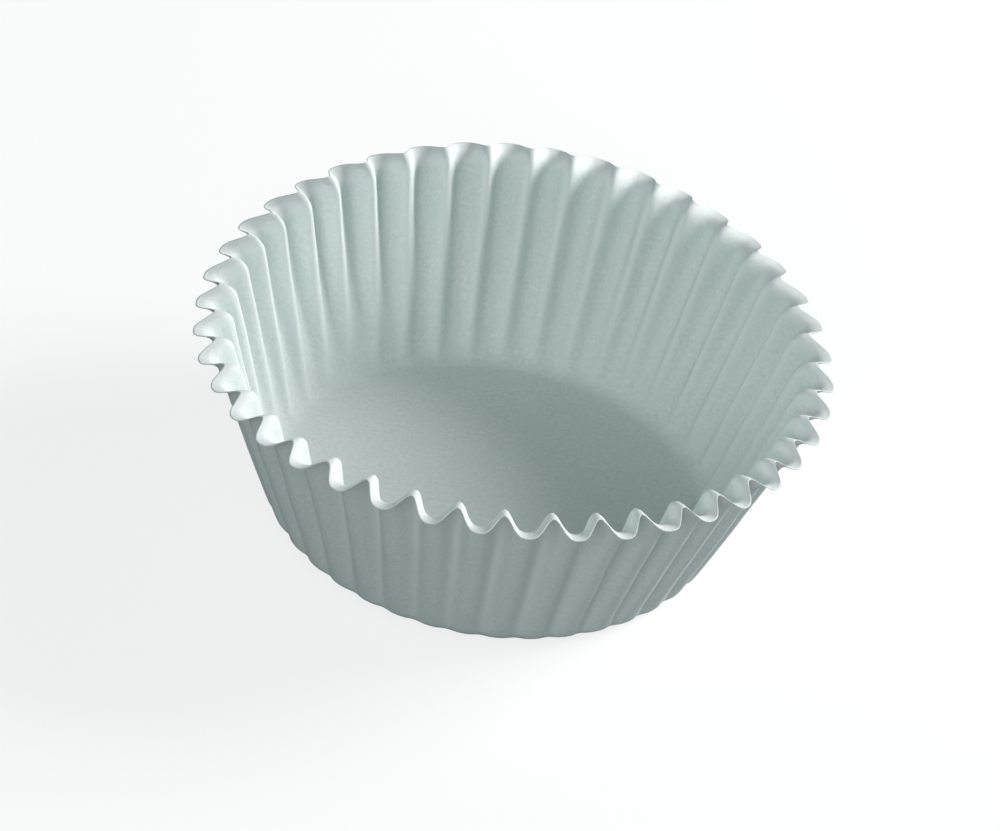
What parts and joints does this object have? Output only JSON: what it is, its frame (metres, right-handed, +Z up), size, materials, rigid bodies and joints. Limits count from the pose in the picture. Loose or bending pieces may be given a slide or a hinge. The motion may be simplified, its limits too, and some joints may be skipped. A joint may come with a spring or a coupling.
{
  "type": "cupcake liner",
  "caption": "Round paper baking cup with a flat floor, a leaning fluted wall and a narrow flared lip, which holds batter and cake in a tin.",
  "frame": {"origin": "middle of the underside of the flat floor", "axes": "+Z up along the cup's axis, +X to the right and -Y towards the viewer of the picture"},
  "size_m": [0.0756, 0.0768, 0.0262],
  "materials": {
    "white_baking_paper": "matte greaseproof paper with a faint sheen"
  },
  "bodies": {
    "root": {"fluted_paper_liner": "white_baking_paper"}
  },
  "joints": []
}
